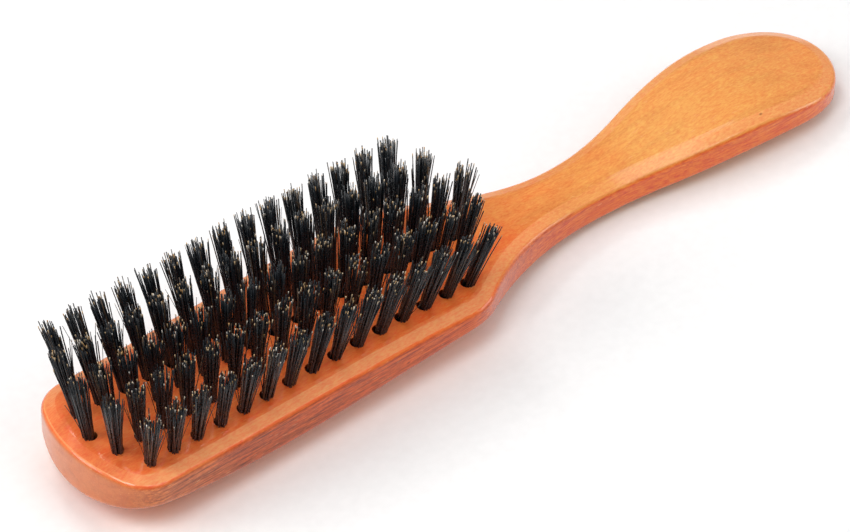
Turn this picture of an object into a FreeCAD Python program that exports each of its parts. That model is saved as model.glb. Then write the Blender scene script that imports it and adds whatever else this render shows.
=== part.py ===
"""Wooden hairbrush: one bored wooden body, anchored bristle tufts and their anchors.

Millimetres. While it is built the brush lies with its nose tip at X = 0, its handle towards +X and the crest of
its face at Z = 0, bristles up. Every finished piece is then placed so that the brush rests on its back on Z = 0,
touching at the crown of the head and at the end of the handle.
"""
import FreeCAD, Part
import math
import os
import Sketcher

SIZES = (
    # outline, seen from above
    ("BodyLength", 220.6, "nose tip to end of handle"),
    ("NoseRadius", 32.0, "blunt front of the head"),
    ("NoseCornerRadius", 10.0, "rounded front corners"),
    ("NoseHalfWidth", 19.6, "half width of the side lines carried on to the nose"),
    ("SideFlareDegrees", 0.8, "each side opens this much towards the shoulder"),
    ("ShoulderRadius", 16.0, "rounded shoulders"),
    ("HeadSweepRadius", 66.0, "hollow sweep from shoulder to neck"),
    ("NeckPosition", 141.5, "narrowest place"),
    ("NeckHalfWidth", 7.5, "half width there"),
    ("PaddlePosition", 202.0, "widest place of the handle"),
    ("PaddleHalfWidth", 15.4, "half width there"),
    ("PaddleSideRadius", 142.0, "long side curve of the handle"),
    ("PaddleEndRadius", 14.5, "end of the handle"),
    # crowned face and back
    ("FaceCrownRadius", 110.0, "face, across the brush"),
    ("BackCrownRadius", 36.0, "back, across the brush"),
    ("CrownHalfWidth", 24.0, "half width of the crowned surfaces, clear of the outline"),
    ("WasteHeight", 34.0, "height of the waste beyond a crowned surface"),
    ("BevelWidth", 3.5, "soft bevel round the face, measured on the face"),
    ("BevelDrop", 1.0, "soft bevel round the face, measured down the side wall"),
    ("BevelInnerRadius", 3.0, "rounding where the face turns into the bevel"),
    ("BevelOuterRadius", 1.3, "rounding where the bevel turns into the side wall"),
    ("BackEdgeRadius", 1.6, "rounding of the lower edge"),
    ("RestTiltDegrees", 1.0, "the brush lies this much nose up on its crowned back"),
    # bristle field
    ("TuftPitch", 6.35, "hole to hole along a row"),
    ("RowSpacing", 6.62, "row to row"),
    ("FirstTuftPosition", 11.9, "first hole of the outer rows, from the nose tip"),
    ("RowTwoLead", 3.7, "second and fourth rows start this much nearer the nose"),
    ("RowThreeLead", 5.85, "middle row starts this much nearer the nose"),
    ("OuterRowLeanDegrees", 15.8, "outward lean of the outer rows"),
    ("EndLeanDegrees", 9.0, "lean of the first and last ranks towards the ends"),
    ("HoleRadius", 1.4, "bristle hole"),
    ("HoleDepth", 7.5, "bristle hole, along its axis from the face"),
    ("TuftLength", 19.8, "free length of the bristles"),
    ("TuftCollar", 0.7, "height above the face at which the tuft starts to flare"),
    ("TuftTipRadius", 2.25, "flared tip"),
    ("TuftDomeHeight", 1.2, "height of the trimmed dome"),
    ("AnchorLength", 3.6, "flat wire, across the hole and into the wood"),
    ("AnchorThickness", 0.4, "flat wire"),
    ("AnchorHeight", 1.4, "flat wire, along the hole"),
    ("AnchorLift", 0.7, "room for the fold of the tuft under the anchor"),
)

# height of the crest of the face and of the back along the brush: distance from the nose tip, face, back
CRESTS = (
    ("NoseFront", -3.0, 0.0, -10.4),
    ("NoseBack", 14.0, 0.0, -14.9),
    ("MidHead", 46.0, 0.0, -17.2),
    ("Shoulder", 86.0, 0.0, -15.3),
    ("NeckStart", 114.0, -2.1, -14.1),
    ("Neck", 141.0, -5.1, -14.0),
    ("Grip", 172.0, -2.7, -13.1),
    ("Paddle", 200.0, -2.6, -13.5),
    ("PaddleEnd", 226.0, -6.6, -13.7),
)

ROWS = 5
TUFTS_IN_ROW = {0: 17, 1: 16, 2: 15}     # by distance from the middle row
RANKS = 17

X_AXIS = FreeCAD.Vector(1, 0, 0)
Y_AXIS = FreeCAD.Vector(0, 1, 0)
Z_AXIS = FreeCAD.Vector(0, 0, 1)

doc = FreeCAD.newDocument("Hairbrush")


# ---------------------------------------------------------------- the sheet of sizes
sheet = doc.addObject("Spreadsheet::Sheet", "Sizes")
entries = list(SIZES)
for label, station, face, back in CRESTS:
    entries.append((label + "Station", station, "distance from the nose tip"))
    entries.append((label + "Face", face, "crest of the face there"))
    entries.append((label + "Back", back, "crest of the back there"))
for number, (alias, value, note) in enumerate(entries, start=1):
    sheet.set("A%d" % number, note)
    sheet.set("B%d" % number, str(value))
    sheet.setAlias("B%d" % number, alias)
doc.recompute()


def size(alias):
    return float(sheet.get(alias))


def bind(obj, path, expression):
    obj.setExpression(path, expression)


def named(kind, label):
    obj = doc.addObject(kind, label)
    obj.Label = label
    return obj


# ---------------------------------------------------------------- outline of the body, seen from above
def polar(centre, towards, radius):
    direction = (towards - centre).normalize()
    return centre + direction * radius


def along_line(start, direction, target, distance, first):
    """Point on a line at a given distance from target: the first or the second one met."""
    foot = (target - start).dot(direction)
    gap = (start + direction * foot - target).Length
    reach = math.sqrt(distance ** 2 - gap ** 2)
    return start + direction * (foot - reach if first else foot + reach)


def arc(centre, start, end):
    """Minor arc between two points, and which of its two ends lies on start."""
    a = math.atan2(start.y - centre.y, start.x - centre.x)
    b = math.atan2(end.y - centre.y, end.x - centre.x)
    turn = (b - a) % (2 * math.pi)
    circle = Part.Circle(centre, Z_AXIS, (start - centre).Length)
    if turn <= math.pi:
        return Part.ArcOfCircle(circle, a, a + turn), 1
    return Part.ArcOfCircle(circle, b, b + 2 * math.pi - turn), 2


def tangent_points():
    """Centres and meeting points of the arcs of the upper half outline."""
    V = FreeCAD.Vector
    flare = math.radians(size("SideFlareDegrees"))
    run = V(math.cos(flare), math.sin(flare), 0)
    inward = V(math.sin(flare), -math.cos(flare), 0)
    line_start = V(0, size("NoseHalfWidth"), 0)
    nose = V(size("NoseRadius"), 0, 0)
    corner_r = size("NoseCornerRadius")
    corner = along_line(line_start + inward * corner_r, run, nose, size("NoseRadius") - corner_r, True)
    neck = V(size("NeckPosition"), size("NeckHalfWidth"), 0)
    sweep = neck + V(0, size("HeadSweepRadius"), 0)
    shoulder_r = size("ShoulderRadius")
    shoulder = along_line(line_start + inward * shoulder_r, run, sweep,
                          size("HeadSweepRadius") + shoulder_r, True)
    wide = V(size("PaddlePosition"), size("PaddleHalfWidth"), 0)
    side = wide - V(0, size("PaddleSideRadius"), 0)
    rise = wide.y - neck.y
    radii = ((wide.x - neck.x) ** 2 + rise ** 2) / (2 * rise)
    grip = neck + V(0, radii - size("PaddleSideRadius"), 0)
    end_r = size("PaddleEndRadius")
    end = V(size("BodyLength") - end_r, 0, 0)
    turn_r = ((end.x - wide.x) ** 2 + wide.y ** 2 - end_r ** 2) / (2 * (wide.y - end_r))
    turn = wide - V(0, turn_r, 0)
    return {
        "centres": (corner, None, shoulder, sweep, grip, side, turn),
        "points": (polar(nose, corner, size("NoseRadius")), corner - inward * corner_r,
                   shoulder - inward * shoulder_r, polar(shoulder, sweep, shoulder_r), neck,
                   polar(grip, side, (neck - grip).Length), wide, polar(turn, end, turn_r)),
        "nose": nose,
        "end": end,
    }


def flipped(point, side):
    return FreeCAD.Vector(point.x, side * point.y, 0)


def draw_outline():
    sketch = named("Sketcher::SketchObject", "body_outline")
    Rule = Sketcher.Constraint
    layout = tangent_points()
    points = layout["points"]
    centres = layout["centres"]

    def rule(*words, alias=None, sign=""):
        index = sketch.addConstraint(Rule(*words))
        if alias:
            bind(sketch, "Constraints[%d]" % index, sign + "Sizes." + alias)

    def add_arc(centre, start, end):
        geometry, start_end = arc(centre, start, end)
        return sketch.addGeometry(geometry, False), start_end, 3 - start_end

    nose = add_arc(layout["nose"], flipped(points[0], -1), points[0])
    tip = add_arc(layout["end"], flipped(points[-1], -1), points[-1])
    rule("PointOnObject", nose[0], 3, -1)
    rule("PointOnObject", -1, 1, nose[0])
    rule("Radius", nose[0], size("NoseRadius"), alias="NoseRadius")
    rule("PointOnObject", tip[0], 3, -1)
    rule("Radius", tip[0], size("PaddleEndRadius"), alias="PaddleEndRadius")
    last = sketch.addGeometry(Part.Point(FreeCAD.Vector(size("BodyLength"), 0, 0)), True)
    rule("PointOnObject", last, 1, -1)
    rule("DistanceX", -1, 1, last, 1, size("BodyLength"), alias="BodyLength")
    rule("PointOnObject", last, 1, tip[0])

    for side in (1, -1):
        sign = "" if side > 0 else "-"
        chain = []
        for centre, start, end in zip(centres, points[:-1], points[1:]):
            start = flipped(start, side)
            end = flipped(end, side)
            if centre is None:
                line = sketch.addGeometry(Part.LineSegment(start, end), False)
                chain.append((line, 1, 2))
            else:
                chain.append(add_arc(flipped(centre, side), start, end))
        corner, edge, shoulder, sweep, grip, flank, turn = chain
        nose_end = nose[2] if side > 0 else nose[1]
        tip_end = tip[2] if side > 0 else tip[1]
        rule("Tangent", nose[0], nose_end, corner[0], corner[1])
        for before, after in zip(chain[:-1], chain[1:]):
            rule("Tangent", before[0], before[2], after[0], after[1])
        rule("Tangent", turn[0], turn[2], tip[0], tip_end)
        rule("Radius", corner[0], size("NoseCornerRadius"), alias="NoseCornerRadius")
        rule("Radius", shoulder[0], size("ShoulderRadius"), alias="ShoulderRadius")
        rule("Radius", sweep[0], size("HeadSweepRadius"), alias="HeadSweepRadius")
        rule("Radius", flank[0], size("PaddleSideRadius"), alias="PaddleSideRadius")
        reference = sketch.addGeometry(Part.Point(FreeCAD.Vector(0, side * size("NoseHalfWidth"), 0)), True)
        rule("PointOnObject", reference, 1, -2)
        rule("DistanceY", -1, 1, reference, 1, side * size("NoseHalfWidth"), alias="NoseHalfWidth", sign=sign)
        rule("PointOnObject", reference, 1, edge[0])
        rule("Angle", edge[0], side * math.radians(size("SideFlareDegrees")),
             alias="SideFlareDegrees * 1 deg", sign=sign)
        rule("DistanceX", -1, 1, sweep[0], 3, size("NeckPosition"), alias="NeckPosition")
        rule("DistanceX", -1, 1, sweep[0], sweep[2], size("NeckPosition"), alias="NeckPosition")
        rule("DistanceY", -1, 1, sweep[0], sweep[2], side * size("NeckHalfWidth"), alias="NeckHalfWidth", sign=sign)
        rule("DistanceX", -1, 1, flank[0], 3, size("PaddlePosition"), alias="PaddlePosition")
        rule("DistanceX", -1, 1, flank[0], flank[2], size("PaddlePosition"), alias="PaddlePosition")
        rule("DistanceY", -1, 1, flank[0], flank[2], side * size("PaddleHalfWidth"),
             alias="PaddleHalfWidth", sign=sign)
    return sketch


# ---------------------------------------------------------------- crowned face and back
ACROSS = FreeCAD.Rotation(FreeCAD.Vector(1, 1, 1), 120)      # sketch X to Y, sketch Y to Z, normal along X


def draw_section(label, surface, up):
    """Section of the waste beyond one crowned surface: above the face (up = 1) or below the back (up = -1)."""
    V = FreeCAD.Vector
    Rule = Sketcher.Constraint
    half = size("CrownHalfWidth")
    crest = size(label + surface)
    radius = size(surface + "CrownRadius")
    centre = crest - up * radius
    edge = centre + up * math.sqrt(radius ** 2 - half ** 2)
    far = up * size("WasteHeight")
    sketch = named("Sketcher::SketchObject", "%s_section_%s" % (surface.lower(), label.lower()))
    sketch.Placement = FreeCAD.Placement(V(size(label + "Station"), 0, 0), ACROSS)
    bind(sketch, "Placement.Base.x", "Sizes.%sStation" % label)
    crown, start_end = arc(V(0, centre, 0), V(half, edge, 0), V(-half, edge, 0))
    sketch.addGeometry(crown, False)
    sketch.addGeometry(Part.LineSegment(V(-half, edge, 0), V(-half, far, 0)), False)
    sketch.addGeometry(Part.LineSegment(V(-half, far, 0), V(half, far, 0)), False)
    sketch.addGeometry(Part.LineSegment(V(half, far, 0), V(half, edge, 0)), False)
    for rule in (
        Rule("Coincident", 0, 3 - start_end, 1, 1),
        Rule("Coincident", 1, 2, 2, 1),
        Rule("Coincident", 2, 2, 3, 1),
        Rule("Coincident", 3, 2, 0, start_end),
        Rule("Vertical", 1),
        Rule("Horizontal", 2),
        Rule("Vertical", 3),
        Rule("PointOnObject", 0, 3, -2),
    ):
        sketch.addConstraint(rule)
    inner = "Sizes.%s%s - Sizes.%sCrownRadius" if up > 0 else "Sizes.%s%s + Sizes.%sCrownRadius"
    driven = (
        (Rule("Radius", 0, radius), "Sizes.%sCrownRadius" % surface),
        (Rule("DistanceY", -1, 1, 0, 3, centre), inner % (label, surface, surface)),
        (Rule("DistanceX", -1, 1, 3, 1, half), "Sizes.CrownHalfWidth"),
        (Rule("DistanceY", -1, 1, 3, 1, far), "%s Sizes.WasteHeight" % ("+" if up > 0 else "-")),
    )
    for constraint, expression in driven:
        index = sketch.addConstraint(constraint)
        bind(sketch, "Constraints[%d]" % index, expression)
    return sketch


def waste(surface, up):
    loft = named("Part::Loft", surface.lower() + "_waste")
    loft.Sections = [draw_section(entry[0], surface, up) for entry in CRESTS]
    loft.Solid = True
    loft.Ruled = False
    loft.MaxDegree = 3
    return loft


outline = draw_outline()
doc.recompute()

prism = named("Part::Extrusion", "outline_prism")
prism.Base = outline
prism.DirMode = "Custom"
prism.Dir = Z_AXIS
prism.Solid = True
bind(prism, "LengthFwd", "Sizes.WasteHeight / 2")
bind(prism, "LengthRev", "Sizes.WasteHeight * 0.75")

face_waste = waste("Face", 1)
back_waste = waste("Back", -1)
faced = named("Part::Cut", "faced_body")
faced.Base = prism
faced.Tool = face_waste
crowned = named("Part::Cut", "crowned_body")
crowned.Base = faced
crowned.Tool = back_waste
doc.recompute()


# ---------------------------------------------------------------- bevel and rounded edges
def ring(shape, on, clear_of=None):
    """Numbers of the lengthways edges that lie on one surface and not on another."""
    numbers = []
    for number, edge in enumerate(shape.Edges, start=1):
        middle = Part.Vertex(edge.valueAt((edge.FirstParameter + edge.LastParameter) / 2))
        upright = abs(edge.tangentAt(edge.FirstParameter).z) > 0.9
        if upright or on.distToShape(middle)[0] > 0.01:
            continue
        if clear_of is None or clear_of.distToShape(middle)[0] > 0.01:
            numbers.append(number)
    return numbers


def equal(numbers, radius):
    return [(number, radius, radius) for number in numbers]


side_wall = Part.makeCompound([face for face in prism.Shape.Faces if abs(face.normalAt(0, 0).z) < 0.5])
face_crown = face_waste.Shape
back_crown = back_waste.Shape

bevelled = named("Part::Chamfer", "bevelled_body")
bevelled.Base = crowned
bevelled.Edges = [(number, size("BevelDrop"), size("BevelWidth")) for number in ring(crowned.Shape, face_crown)]
doc.recompute()

softened = named("Part::Fillet", "softened_bevel")
softened.Base = bevelled
softened.Edges = (equal(ring(bevelled.Shape, face_crown), size("BevelInnerRadius"))
                  + equal(ring(bevelled.Shape, side_wall, back_crown), size("BevelOuterRadius")))
doc.recompute()

eased_body = named("Part::Fillet", "eased_body")
eased_body.Base = softened
eased_body.Edges = equal(ring(softened.Shape, back_crown), size("BackEdgeRadius"))
doc.recompute()


# ---------------------------------------------------------------- bristle field
def face_height(x, y):
    far = size("WasteHeight")
    column = Part.makeLine(FreeCAD.Vector(x, y, -far), FreeCAD.Vector(x, y, far))
    return eased_body.Shape.common(column).BoundBox.ZMax


def place_of(rank, row):
    """Seat of one tuft: on the crowned face, with +Z along the tuft."""
    from_middle = row - (ROWS - 1) // 2
    lead = {2: 0.0, 1: size("RowTwoLead"), 0: size("RowThreeLead")}[abs(from_middle)]
    pitch = size("TuftPitch")
    x = size("FirstTuftPosition") - lead + rank * pitch
    y = from_middle * size("RowSpacing")
    z = face_height(x, y)
    middle = size("FirstTuftPosition") + pitch * (TUFTS_IN_ROW[2] - 1) / 2
    reach = pitch * (TUFTS_IN_ROW[2] - 1) / 2
    along = size("EndLeanDegrees") * (x - middle) / reach
    across = -size("OuterRowLeanDegrees") * from_middle / 2
    lean = FreeCAD.Rotation(X_AXIS, across).multiply(FreeCAD.Rotation(Y_AXIS, along))
    return FreeCAD.Placement(FreeCAD.Vector(x, y, z), lean)


def rank_places(rank):
    middle = (ROWS - 1) // 2
    return [place_of(rank, row) for row in range(ROWS) if rank < TUFTS_IN_ROW[abs(row - middle)]]


def draw_tuft_profile():
    """Half section of a tuft about its own axis; the face of the brush is at height zero."""
    V = FreeCAD.Vector
    Rule = Sketcher.Constraint
    root = size("HoleRadius")
    tip = size("TuftTipRadius")
    foot = -size("HoleDepth")
    collar = size("TuftCollar")
    top = size("TuftLength")
    brim = top - size("TuftDomeHeight")
    dome_r = (tip ** 2 + (top - brim) ** 2) / (2 * (top - brim))
    sketch = named("Sketcher::SketchObject", "tuft_profile")
    sketch.Placement = FreeCAD.Placement(V(0, 0, 0), FreeCAD.Rotation(X_AXIS, 90))
    corners = (V(0, foot, 0), V(root, foot, 0), V(root, collar, 0), V(tip, brim, 0))
    for start, end in zip(corners[:-1], corners[1:]):
        sketch.addGeometry(Part.LineSegment(start, end), False)
    dome, start_end = arc(V(0, top - dome_r, 0), V(tip, brim, 0), V(0, top, 0))
    sketch.addGeometry(dome, False)
    sketch.addGeometry(Part.LineSegment(V(0, top, 0), V(0, foot, 0)), False)
    for rule in (
        Rule("Coincident", 0, 2, 1, 1),
        Rule("Coincident", 1, 2, 2, 1),
        Rule("Coincident", 2, 2, 3, start_end),
        Rule("Coincident", 3, 3 - start_end, 4, 1),
        Rule("Coincident", 4, 2, 0, 1),
        Rule("Horizontal", 0),
        Rule("Vertical", 1),
        Rule("PointOnObject", 4, 1, -2),
        Rule("PointOnObject", 4, 2, -2),
        Rule("PointOnObject", 3, 3, -2),
    ):
        sketch.addConstraint(rule)
    driven = (
        (Rule("DistanceX", -1, 1, 0, 2, root), "Sizes.HoleRadius"),
        (Rule("DistanceY", -1, 1, 0, 2, foot), "-Sizes.HoleDepth"),
        (Rule("DistanceY", -1, 1, 1, 2, collar), "Sizes.TuftCollar"),
        (Rule("DistanceX", -1, 1, 2, 2, tip), "Sizes.TuftTipRadius"),
        (Rule("DistanceY", -1, 1, 2, 2, brim), "Sizes.TuftLength - Sizes.TuftDomeHeight"),
        (Rule("DistanceY", -1, 1, 4, 1, top), "Sizes.TuftLength"),
    )
    for constraint, expression in driven:
        index = sketch.addConstraint(constraint)
        bind(sketch, "Constraints[%d]" % index, expression)
    return sketch


bundle = named("Part::Revolution", "bristle_bundle")
bundle.Source = draw_tuft_profile()
bundle.Axis = Z_AXIS
bundle.Angle = 360
bundle.Solid = True

flat_wire = named("Part::Box", "flat_wire")
bind(flat_wire, "Length", "Sizes.AnchorLength")
bind(flat_wire, "Width", "Sizes.AnchorThickness")
bind(flat_wire, "Height", "Sizes.AnchorHeight")
bind(flat_wire, "Placement.Base.x", "-Sizes.AnchorLength / 2")
bind(flat_wire, "Placement.Base.y", "-Sizes.AnchorThickness / 2")
bind(flat_wire, "Placement.Base.z", "Sizes.AnchorLift - Sizes.HoleDepth")

anchor = named("Part::Compound", "anchor")
anchor.Links = [flat_wire]

tuft = named("Part::Cut", "tuft")
tuft.Base = bundle
tuft.Tool = anchor

drill = named("Part::Cylinder", "drill")
bind(drill, "Radius", "Sizes.HoleRadius")
bind(drill, "Height", "Sizes.HoleDepth + 3 * Sizes.TuftCollar")
bind(drill, "Placement.Base.z", "-Sizes.HoleDepth")

seat = named("Part::MultiFuse", "seat_cutter")
seat.Shapes = [drill, anchor]
doc.recompute()


def copies(label, master, places):
    """One link to the master for each place, gathered in a compound."""
    links = []
    for number, place in enumerate(places, start=1):
        link = named("App::Link", "%s_%02d" % (label, number))
        link.LinkedObject = master
        link.LinkPlacement = place
        links.append(link)
    group = named("Part::Compound", label)
    group.Links = links
    return group


all_places = [place for rank in range(RANKS) for place in rank_places(rank)]
seats = copies("seat_cutters", seat, all_places)
body = named("Part::Cut", "brush_body")
body.Base = eased_body
body.Tool = seats

nodes = [body]
for rank in range(RANKS):
    nodes.append(copies("tuft_rank_%02d" % (rank + 1), tuft, rank_places(rank)))
    nodes.append(copies("anchor_rank_%02d" % (rank + 1), anchor, rank_places(rank)))
doc.recompute()


# ---------------------------------------------------------------- at rest on its back
tilt = FreeCAD.Rotation(Y_AXIS, size("RestTiltDegrees"))
turned = eased_body.Shape.copy()
turned.Placement = FreeCAD.Placement(FreeCAD.Vector(0, 0, 0), tilt)
box = turned.optimalBoundingBox()
rest = FreeCAD.Placement(FreeCAD.Vector(-box.Center.x, 0, -box.ZMin), tilt)
for node in nodes:
    node.Placement = rest
doc.recompute()


# ---------------------------------------------------------------- check and write
for obj in doc.Objects:
    bad = [word for word in obj.State if word in ("Invalid", "Error")]
    if bad:
        raise RuntimeError("%s is %s" % (obj.Label, bad))
for node in nodes:
    if node.Shape.isNull() or not node.Shape.isValid() or not node.Shape.Solids:
        raise RuntimeError("%s has no valid solid" % node.Label)

os.makedirs("parts", exist_ok=True)
for node in nodes:
    node.Shape.exportStep("parts/%s.step" % node.Label)
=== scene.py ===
"""Looks of the wooden hairbrush: lacquered pear wood, natural bristle tufts, a soft studio.

Metres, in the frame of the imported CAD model: +X from the nose to the handle, +Z up, the brush
lying on its back. The body and the hidden anchors keep their CAD shape and get a finish. Each
CAD tuft is replaced by a bundle of separate bristles.
"""

import math
import random

import bpy
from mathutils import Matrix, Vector


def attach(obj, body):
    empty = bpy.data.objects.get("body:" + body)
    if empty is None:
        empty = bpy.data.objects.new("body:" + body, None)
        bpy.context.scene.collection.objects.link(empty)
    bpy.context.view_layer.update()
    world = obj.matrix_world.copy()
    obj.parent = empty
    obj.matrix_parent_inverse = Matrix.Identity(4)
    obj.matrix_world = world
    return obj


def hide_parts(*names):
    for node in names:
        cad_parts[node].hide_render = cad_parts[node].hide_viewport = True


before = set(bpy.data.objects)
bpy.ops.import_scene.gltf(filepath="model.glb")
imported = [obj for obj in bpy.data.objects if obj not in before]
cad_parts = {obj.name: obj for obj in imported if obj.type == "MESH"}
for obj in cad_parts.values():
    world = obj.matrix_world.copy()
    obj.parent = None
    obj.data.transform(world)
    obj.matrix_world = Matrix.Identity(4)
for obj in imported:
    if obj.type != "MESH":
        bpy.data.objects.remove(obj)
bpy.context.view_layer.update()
scene = bpy.context.scene

MM = 0.001
RANKS = 17                     # ranks of tufts across the brush, one CAD node each
BODY_LENGTH = 220.6 * MM


# ---------------------------------------------------------------- small helpers for materials
class Nodes:
    """Short ways to add and join the shader nodes of one material."""

    def __init__(self, name):
        self.material = bpy.data.materials.new(name)
        self.material.use_nodes = True
        self.tree = self.material.node_tree
        self.shader = self.tree.nodes["Principled BSDF"]

    def add(self, kind, **settings):
        node = self.tree.nodes.new(kind)
        for key, value in settings.items():
            setattr(node, key, value)
        return node

    def join(self, source, target):
        self.tree.links.new(source, target)

    def feed(self, socket, value):
        """Join another node's output to a socket, or set the socket to a constant."""
        if hasattr(value, "is_output"):
            self.join(value, socket)
        else:
            socket.default_value = value

    def set(self, **values):
        """Constants of the Principled shader, with underscores for the spaces in their names."""
        for key, value in values.items():
            self.shader.inputs[key.replace("_", " ")].default_value = value

    def stretched(self, scale):
        """The object's own coordinates, multiplied by scale."""
        coordinates = self.add("ShaderNodeTexCoord")
        mapping = self.add("ShaderNodeMapping")
        mapping.inputs["Scale"].default_value = scale
        self.join(coordinates.outputs["Object"], mapping.inputs["Vector"])
        return mapping.outputs["Vector"]

    def noise(self, vector, scale=1.0, detail=3.0, roughness=0.5, distortion=0.0):
        node = self.add("ShaderNodeTexNoise")
        node.inputs["Scale"].default_value = scale
        node.inputs["Detail"].default_value = detail
        node.inputs["Roughness"].default_value = roughness
        node.inputs["Distortion"].default_value = distortion
        self.join(vector, node.inputs["Vector"])
        return node.outputs["Fac"]

    def ramp(self, value, *stops):
        """Colour ramp with (position, colour) stops."""
        node = self.add("ShaderNodeValToRGB")
        elements = node.color_ramp.elements
        while len(elements) < len(stops):
            elements.new(0.5)
        for element, (position, colour) in zip(elements, stops):
            element.position = position
            element.color = (*colour, 1.0)
        self.join(value, node.inputs["Fac"])
        return node.outputs["Color"]

    def mix(self, blend, amount, first, second):
        node = self.add("ShaderNodeMix", data_type="RGBA", blend_type=blend)
        self.feed(node.inputs["Factor"], amount)
        self.feed(node.inputs["A"], first)
        self.feed(node.inputs["B"], second)
        return node.outputs["Result"]

    def math(self, operation, *values):
        node = self.add("ShaderNodeMath", operation=operation)
        for socket, value in zip(node.inputs, values):
            self.feed(socket, value)
        return node.outputs["Value"]

    def split(self, vector):
        """The X, Y and Z of a vector."""
        node = self.add("ShaderNodeSeparateXYZ")
        self.join(vector, node.inputs["Vector"])
        return node.outputs

    def bump(self, height, strength, distance):
        node = self.add("ShaderNodeBump")
        node.inputs["Strength"].default_value = strength
        node.inputs["Distance"].default_value = distance
        self.join(height, node.inputs["Height"])
        return node.outputs["Normal"]


def grey(value):
    return (value, value, value)


# ---------------------------------------------------------------- wood
# Noise cells per metre along X, Y and Z. The grain runs along X, so the cells are longest there.
RING_CELLS = (5, 150, 260)
MOTTLE_CELLS = (240, 420, 420)
LINE_CELLS = (120, 2000, 2000)
GRAIN_CELLS = (900, 2600, 2600)
FLECK_CELLS = (380, 2600, 2600)
SHEEN_CELLS = (40, 300, 300)

# Places along the brush, as shares of its length
HEAD_END = 0.45
HANDLE_START = 0.70

# paler colour of the bevel band: thinner stain and painted highlight
BEVEL_STAIN_AND_HIGHLIGHT = (1.0, 0.39, 0.15, 1.0)
PALE_FLECK = (0.92, 0.50, 0.22, 1.0)
RELIEF_DEPTH = 0.1 * MM


def length_share(wood):
    """Place along the brush, from the nose (0) to the end of the handle (1), with cloudy edges."""
    position = wood.split(wood.stretched((1, 1, 1)))
    clouds = wood.noise(wood.stretched((1, 2.2, 2.2)), scale=30.0, detail=4.0, roughness=0.55)
    drift = wood.math("MULTIPLY_ADD", clouds, 0.36, -0.18)
    place = wood.math("MULTIPLY_ADD", position["X"], 1 / BODY_LENGTH, 0.5)
    return wood.math("ADD", place, drift)


def head_to_handle(wood, along, head, handle):
    """A value that goes from one on the head to another on the handle."""
    return wood.ramp(along, (HEAD_END, grey(head)), (HANDLE_START, grey(handle)))


def stain(wood, along, side):
    """Redder on the head and the side wall, yellower on the handle."""
    face_stain = wood.ramp(along,
                           (0.00, (0.92, 0.190, 0.048)),
                           (0.45, (0.96, 0.184, 0.034)),
                           (0.62, (0.87, 0.305, 0.070)),
                           (0.76, (0.84, 0.360, 0.086)),
                           (1.00, (0.88, 0.325, 0.084)))
    # along the side wall the colour is lighter at the nose, darkest a little behind it and lighter again
    # towards the handle
    side_wall_colour = wood.ramp(along,
                           (0.00, (0.68, 0.190, 0.055)),
                           (0.12, (0.48, 0.080, 0.012)),
                           (0.30, (0.56, 0.084, 0.008)),
                           (0.50, (0.70, 0.105, 0.008)),
                           (0.75, (0.84, 0.145, 0.008)),
                           (1.00, (0.82, 0.145, 0.010)))
    return wood.mix("MIX", side, face_stain, side_wall_colour)


def add_rings(wood, colour):
    """Growth rings, as long faint bands."""
    rings = wood.noise(wood.stretched(RING_CELLS), roughness=0.6, distortion=0.35)
    tone = wood.ramp(rings,
                     (0.36, (0.84, 0.78, 0.74)),
                     (0.54, grey(1.0)),
                     (0.72, (1.0, 0.95, 0.90)))
    return wood.mix("MULTIPLY", 0.6, colour, tone)


def add_mottle(wood, colour, along, side):
    """Blotches of stain, stronger on the head and weaker on the side wall."""
    mottle = wood.noise(wood.stretched(MOTTLE_CELLS), roughness=0.6)
    tone = wood.ramp(mottle,
                     (0.32, (0.40, 0.33, 0.30)),
                     (0.52, grey(0.50)),
                     (0.70, (0.56, 0.60, 0.60)))
    share = wood.math("MULTIPLY",
                      head_to_handle(wood, along, 0.62, 0.24),
                      wood.math("MULTIPLY_ADD", side, -0.45, 1.0))
    return wood.mix("OVERLAY", share, colour, tone)


def pale_bevel_and_highlight(wood, colour, along, level):
    """The bevel, where the face begins to slope, is painted paler: a thinner stain, and a painted
    highlight that stands in for the light the bevel catches.
    """
    slope = wood.ramp(level,
                      (0.80, grey(0.0)),
                      (0.86, grey(1.0)),
                      (0.93, grey(1.0)),
                      (0.95, grey(0.3)),
                      (0.97, grey(0.0)))
    share = wood.math("MULTIPLY", slope, head_to_handle(wood, along, 0.70, 0.42))
    return wood.mix("MIX", share, colour, BEVEL_STAIN_AND_HIGHLIGHT)


def add_flecks(wood, colour):
    """Short pale flecks along the grain."""
    flecks = wood.noise(wood.stretched(FLECK_CELLS), detail=1.0, roughness=0.4)
    return wood.mix("MIX", wood.ramp(flecks, (0.69, grey(0.0)), (0.77, grey(0.35))), colour, PALE_FLECK)


def add_pores(wood, colour):
    """Small dark pores."""
    pores = wood.add("ShaderNodeTexVoronoi", feature="F1")
    pores.inputs["Scale"].default_value = 120.0
    wood.join(wood.stretched((0.55, 1, 1)), pores.inputs["Vector"])
    tone = wood.ramp(pores.outputs["Distance"], (0.022, (0.30, 0.20, 0.15)), (0.045, grey(1.0)))
    return wood.mix("MULTIPLY", 0.8, colour, tone)


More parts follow.
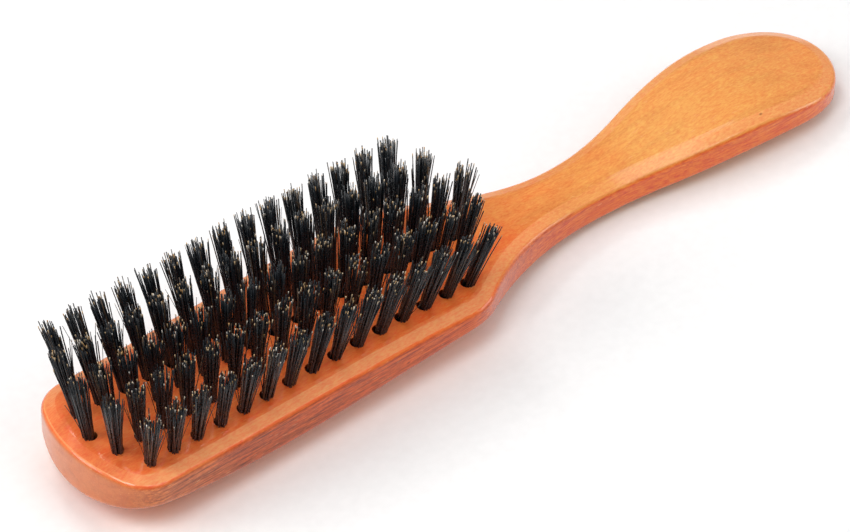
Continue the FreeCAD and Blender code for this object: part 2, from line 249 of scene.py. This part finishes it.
def make_wood():
    """Close-grained pear wood under clear lacquer."""
    wood = Nodes("lacquered_pear_wood")
    normal = wood.split(wood.add("ShaderNodeTexCoord").outputs["Normal"])
    # 1 where the surface lies flat and 0 where it stands upright; side is the other way round
    level = wood.math("ABSOLUTE", normal["Z"])
    side = wood.ramp(level, (0.35, grey(1.0)), (0.80, grey(0.0)))
    # full where the grain shows lengthways, low on the end grain at the nose and the tip
    lengthways = wood.ramp(wood.math("ABSOLUTE", normal["X"]), (0.30, grey(1.0)), (0.85, grey(0.15)))
    along = length_share(wood)

    colour = stain(wood, along, side)
    colour = add_rings(wood, colour)
    colour = add_mottle(wood, colour, along, side)
    # the bevel band is painted paler, partly as a painted highlight
    colour = pale_bevel_and_highlight(wood, colour, along, level)

    # fine lines, which show most on the side wall, and a still finer grain over everything
    lines = wood.noise(wood.stretched(LINE_CELLS), roughness=0.7)
    line_tone = wood.ramp(lines, (0.34, grey(0.16)), (0.50, grey(0.50)), (0.66, grey(0.76)))
    line_share = wood.math("MULTIPLY", wood.math("MULTIPLY_ADD", side, 0.72, 0.14), lengthways)
    colour = wood.mix("OVERLAY", line_share, colour, line_tone)

    grains = wood.noise(wood.stretched(GRAIN_CELLS), roughness=0.6)
    grain_tone = wood.ramp(grains, (0.34, grey(0.30)), (0.50, grey(0.50)), (0.66, grey(0.70)))
    colour = wood.mix("OVERLAY", wood.math("MULTIPLY", lengthways, 0.50), colour, grain_tone)

    colour = add_flecks(wood, colour)
    colour = add_pores(wood, colour)
    wood.join(colour, wood.shader.inputs["Base Color"])

    sheen_patches = wood.noise(wood.stretched(SHEEN_CELLS))
    roughness = wood.ramp(sheen_patches, (0.3, grey(0.40)), (0.7, grey(0.52)))
    wood.join(roughness, wood.shader.inputs["Roughness"])
    relief = wood.math("MULTIPLY", wood.math("ADD", lines, grains), lengthways)
    wood.join(wood.bump(relief, strength=0.20, distance=RELIEF_DEPTH), wood.shader.inputs["Normal"])
    wood.set(Coat_Weight=0.9, Coat_Roughness=0.12, Coat_IOR=1.45, IOR=1.45, Specular_IOR_Level=0.2)
    return wood.material


# ---------------------------------------------------------------- bristle and anchor wire
def make_bristle():
    """Black-brown natural bristle; the tone and tip attributes vary it from strand to strand, and the
    palest, whitish grey tips are painted glints.
    """
    bristle = Nodes("natural_bristle")
    tone = bristle.add("ShaderNodeAttribute", attribute_name="tone")
    tip = bristle.add("ShaderNodeAttribute", attribute_name="tip")
    mottle = bristle.noise(bristle.stretched((1, 1, 1)), scale=900.0, detail=2.0)
    shade = bristle.math("ADD", tone.outputs["Fac"], bristle.math("MULTIPLY_ADD", mottle, 0.3, -0.15))
    hair = bristle.ramp(shade,
                        (0.00, (0.005, 0.008, 0.011)),
                        (0.75, (0.015, 0.020, 0.026)),
                        (0.93, (0.032, 0.030, 0.029)),
                        (1.00, (0.110, 0.066, 0.034)))
    # tip colours, amber through tan to whitish grey; the whitish grey end is a painted glint on the cut
    # ends
    pale = bristle.ramp(tone.outputs["Fac"],
                        (0.0, (0.58, 0.31, 0.10)),
                        (0.5, (0.78, 0.56, 0.31)),
                        (1.0, (0.80, 0.78, 0.74)))
    colour = bristle.mix("MIX", tip.outputs["Fac"], hair, pale)
    bristle.join(colour, bristle.shader.inputs["Base Color"])
    roughness = bristle.ramp(mottle, (0.3, grey(0.22)), (0.7, grey(0.36)))
    bristle.join(roughness, bristle.shader.inputs["Roughness"])
    bristle.set(Specular_IOR_Level=0.5, IOR=1.55)
    return bristle.material


def make_wire():
    """Scratched flat steel, all of it hidden in the wood."""
    wire = Nodes("flat_anchor_wire")
    scratches = wire.noise(wire.stretched((1, 40, 40)), scale=300.0)
    colour = wire.ramp(scratches, (0.3, (0.50, 0.50, 0.48)), (0.7, (0.72, 0.72, 0.70)))
    wire.join(colour, wire.shader.inputs["Base Color"])
    roughness = wire.ramp(scratches, (0.3, grey(0.25)), (0.7, grey(0.40)))
    wire.join(roughness, wire.shader.inputs["Roughness"])
    wire.set(Metallic=1.0)
    return wire.material


wood_material = make_wood()
bristle_material = make_bristle()
wire_material = make_wire()


def finish_node(name, material):
    """Give a CAD node its finish; its shape stays."""
    mesh_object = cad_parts[name]
    for material_slot in mesh_object.material_slots:
        material_slot.material = material


finish_node("brush_body", wood_material)
for rank in range(1, RANKS + 1):
    finish_node("anchor_rank_%02d" % rank, wire_material)


# ---------------------------------------------------------------- the tufts in a CAD node
WELD = 0.002 * MM              # corners closer than this are one corner
RING_LIMIT = 0.05 * MM         # height within which points belong to a tuft's lowest ring
AXIS_PASSES = 4


def islands(mesh):
    """Vertex positions of each separate solid in a mesh."""
    parent = list(range(len(mesh.vertices)))

    def root(index):
        while parent[index] != index:
            parent[index] = parent[parent[index]]
            index = parent[index]
        return index

    places = {}
    for vertex in mesh.vertices:
        key = tuple(round(value / WELD) for value in vertex.co)
        if key in places:
            parent[root(vertex.index)] = root(places[key])
        else:
            places[key] = vertex.index
    for edge in mesh.edges:
        parent[root(edge.vertices[0])] = root(edge.vertices[1])
    groups = {}
    for vertex in mesh.vertices:
        groups.setdefault(root(vertex.index), []).append(vertex.co.copy())
    return list(groups.values())


def tuft_axis(points):
    """Foot and tip of one tuft solid: the middle of its lowest ring and its farthest point."""
    top = max(points, key=lambda point: point.z)
    foot = min(points, key=lambda point: point.z)
    for _ in range(AXIS_PASSES):
        direction = (top - foot).normalized()
        reach = [point.dot(direction) for point in points]
        low = min(reach)
        ring = [point for point, along in zip(points, reach) if along < low + RING_LIMIT]
        foot = sum(ring, Vector()) / len(ring)
        top = max(points, key=lambda point: point.dot(direction))
    return foot, top


# ---------------------------------------------------------------- bristles
# The CAD tuft
HOLE_RADIUS = 1.4 * MM
HOLE_DEPTH = 7.5 * MM
TIP_RADIUS = 2.25 * MM

# How a tuft is filled. The strands are set out in a golden spiral, from its middle to its edge.
STRANDS = 54
GOLDEN_ANGLE = math.pi * (3 - math.sqrt(5))
TURN_PLAY = 0.5                # radians, either way
SEED = 500                     # each rank adds its own number
ROOT_DEPTH = 2.0 * MM          # strands start this far below the face
ROOT_INSET = 0.13 * MM         # and their centre lines this far from the wall of the hole

# Shape of a strand. Pairs are the lowest and the highest value. Those that are lengths, which are
# the radii, STRAY_FLARE and PALE_SPAN, are in millimetres; a reach is a share of the tuft's length.
SIDES = 5
RINGS = (0.0, 0.12, 0.35, 0.6, 0.82, 1.0)      # places of the tube's rings along a strand
RADIUS = (0.13, 0.19)
TAPER = 0.25                   # share of the radius that is lost by the tip
FLARE = (0.5, 1.7)             # share of the CAD tuft's own flare
WANDER = 0.36 * MM             # typical sideways shift of the tip
CURL = (1.0, 1.5)              # power of the bend's growth along the strand
FULL_SHARE = 0.85              # of the strands reach the tuft's end, the others stop short
FULL_REACH = (0.90, 1.02)
SHORT_REACH = (0.72, 0.92)

# A few strands of the outer half stray from the tuft
STRAY_SHARE = 0.07
STRAY_FLARE = (0.8, 2.5)       # added to the strand's own flare
STRAY_REACH = (0.55, 1.0)
STRAY_RADIUS = (0.07, 0.11)

# Pale tips, amber to tan; the palest, whitish grey ones are painted glints where the cut ends catch the
# light
PALE_SHARE = (0.20, 0.50)      # of a tuft's strands
PALE_STRENGTH = (0.5, 1.0)
PALE_SPAN = (0.4, 1.3)         # length over which the colour changes


def strand_points(rng, foot, axis, across, aside, length, index, stray):
    """Centre line of one bristle from inside the hole to its tip."""
    spread = math.sqrt((index + 0.5) / STRANDS)
    turn = index * GOLDEN_ANGLE + rng.uniform(-TURN_PLAY, TURN_PLAY)
    side = across * math.cos(turn) + aside * math.sin(turn)
    root = foot + axis * (HOLE_DEPTH - ROOT_DEPTH) + side * spread * (HOLE_RADIUS - ROOT_INSET)
    flare = (TIP_RADIUS - HOLE_RADIUS) * spread * rng.uniform(*FLARE)
    wander = across * rng.gauss(0, WANDER) + aside * rng.gauss(0, WANDER)
    reach = length * rng.uniform(*(FULL_REACH if rng.random() < FULL_SHARE else SHORT_REACH))
    if stray:
        flare += rng.uniform(*STRAY_FLARE) * MM
        reach *= rng.uniform(*STRAY_REACH)
    curl = rng.uniform(*CURL)
    height = ROOT_DEPTH + reach
    points = []
    for step in RINGS:
        out = max(0.0, (height * step - ROOT_DEPTH) / reach)
        bend = (side * flare + wander) * out ** curl
        points.append(root + axis * height * step + bend)
    return points


def add_strand(points, radius, tone, pale, mesh):
    """Add one closed tube to the mesh lists. It thins a little towards the tip; pale colours the tip."""
    verts, faces, tones, tips = mesh
    span = points[-1] - points[0]
    direction = span.normalized()
    side = direction.orthogonal().normalized()
    other = direction.cross(side)
    first = len(verts)
    last = len(points) - 1
    for ring, point in enumerate(points):
        reach = (point - points[0]).length / span.length
        ring_radius = radius * (1 - TAPER * reach ** 2)
        for corner in range(SIDES):
            angle = 2 * math.pi * corner / SIDES
            verts.append(point + (side * math.cos(angle) + other * math.sin(angle)) * ring_radius)
            tones.append(tone)
            tips.append(pale if ring == last else 0.0)
    for ring in range(last):
        for corner in range(SIDES):
            a = first + ring * SIDES + corner
            b = first + ring * SIDES + (corner + 1) % SIDES
            faces.append((a, b, b + SIDES, a + SIDES))
    top = first + last * SIDES
    faces.append(tuple(range(top, top + SIDES)))
    faces.append(tuple(reversed(range(first, first + SIDES))))


def build_tuft(rng, foot, top, mesh):
    """Add the strands of one tuft, which leaves its hole in the direction of the CAD tuft."""
    axis = (top - foot).normalized()
    across = axis.orthogonal().normalized()
    aside = axis.cross(across)
    length = (top - foot).length - HOLE_DEPTH
    pale_share = rng.uniform(*PALE_SHARE)
    for index in range(STRANDS):
        stray = rng.random() < STRAY_SHARE and index > STRANDS / 2
        points = strand_points(rng, foot, axis, across, aside, length, index, stray)
        tip_step = (points[-1] - points[-2]).normalized()
        pale = rng.uniform(*PALE_STRENGTH) if rng.random() < pale_share else 0.0
        if pale:
            points.insert(-1, points[-1] - tip_step * rng.uniform(*PALE_SPAN) * MM)
        radius = rng.uniform(*(STRAY_RADIUS if stray else RADIUS)) * MM
        add_strand(points, radius, rng.random(), pale, mesh)


def build_rank(rank):
    """Replace one CAD node of tufts by one mesh of bristles."""
    node = "tuft_rank_%02d" % rank
    rng = random.Random(SEED + rank)
    mesh = ([], [], [], [])
    for points in islands(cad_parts[node].data):
        foot, top = tuft_axis(points)
        build_tuft(rng, foot, top, mesh)
    verts, faces, tones, tips = mesh
    data = bpy.data.meshes.new("bristles_rank_%02d" % rank)
    data.from_pydata([tuple(vert) for vert in verts], [], faces)
    for name, values in (("tone", tones), ("tip", tips)):
        attribute = data.attributes.new(name, "FLOAT", "POINT")
        attribute.data.foreach_set("value", values)
    for polygon in data.polygons:
        polygon.use_smooth = True
    data.materials.append(bristle_material)
    bristles = bpy.data.objects.new(data.name, data)
    scene.collection.objects.link(bristles)
    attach(bristles, "root")
    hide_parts(node)


for rank in range(1, RANKS + 1):
    build_rank(rank)


# ---------------------------------------------------------------- floor, light and camera
FLOOR_HALF = 3.0
AMBIENT = 0.18
WARM_WHITE = (1.0, 0.99, 0.97)
WHITE = (1.0, 1.0, 1.0)

CAMERA_AZIMUTH = -39.9
CAMERA_ELEVATION = 44.2
CAMERA_DISTANCE = 1.24
CAMERA_TARGET = Vector((-14.4, -4.95, 16.8)) * MM
LENS = 236.0                   # millimetres, as Blender counts lenses and sensors
SENSOR_WIDTH = 36.0


def outward(azimuth, elevation):
    """Direction from the origin; azimuth in degrees from the front (-Y) towards +X."""
    azimuth = math.radians(azimuth)
    elevation = math.radians(elevation)
    return Vector((math.sin(azimuth) * math.cos(elevation),
                   -math.cos(azimuth) * math.cos(elevation),
                   math.sin(elevation)))


def add_floor():
    """A sheet of pale paper under the brush."""
    corners = [(x * FLOOR_HALF, y * FLOOR_HALF, 0) for x, y in ((-1, -1), (1, -1), (1, 1), (-1, 1))]
    data = bpy.data.meshes.new("floor")
    data.from_pydata(corners, [], [(0, 1, 2, 3)])
    paper = Nodes("pale_paper")
    fibres = paper.noise(paper.stretched((1, 1, 1)), scale=400.0, detail=4.0)
    colour = paper.ramp(fibres, (0.3, grey(0.90)), (0.7, grey(0.93)))
    paper.join(colour, paper.shader.inputs["Base Color"])
    paper.set(Roughness=0.9)
    data.materials.append(paper.material)
    floor = bpy.data.objects.new("floor", data)
    scene.collection.objects.link(floor)


def add_world():
    """A dim white surround."""
    world = bpy.data.worlds.new("studio")
    world.use_nodes = True
    background = world.node_tree.nodes["Background"]
    background.inputs["Color"].default_value = (*WHITE, 1.0)
    background.inputs["Strength"].default_value = AMBIENT
    scene.world = world


def add_light(name, azimuth, elevation, distance=1.0, size=0.5, power=1.0, colour=WHITE):
    """A round softbox that faces the origin; degrees, metres and watts."""
    data = bpy.data.lights.new(name, "AREA")
    data.shape = "DISK"
    data.size = size
    data.energy = power
    data.color = colour
    light = bpy.data.objects.new(name, data)
    scene.collection.objects.link(light)
    away = outward(azimuth, elevation)
    light.location = away * distance
    light.rotation_euler = away.to_track_quat("Z", "Y").to_euler()


def add_camera():
    """A long lens that looks down on the brush from the near side of its nose."""
    data = bpy.data.cameras.new("camera")
    data.sensor_width = SENSOR_WIDTH
    data.lens = LENS
    data.clip_start = 0.05
    data.clip_end = 20.0
    camera = bpy.data.objects.new("camera", data)
    scene.collection.objects.link(camera)
    away = outward(CAMERA_AZIMUTH, CAMERA_ELEVATION)
    camera.location = CAMERA_TARGET + away * CAMERA_DISTANCE
    camera.rotation_euler = away.to_track_quat("Z", "Y").to_euler()
    scene.camera = camera


add_floor()
add_world()
add_light("left_softbox", -112, 36, power=3.6, colour=WARM_WHITE)
add_light("high_softbox", -72, 60, size=0.42, power=3.1)
add_light("overhead_softbox", 130, 74, size=0.6, power=2.0)
add_light("rear_softbox", 176, 55, size=0.30, power=1.6)
add_light("front_softbox", 14, 60, size=0.6, power=1.9)
add_light("low_softbox", 60, 20, distance=1.1, power=2.3)
# the stain's saturated orange comes out paler and pinker in the default transform
scene.view_settings.view_transform = "Standard"
add_camera()
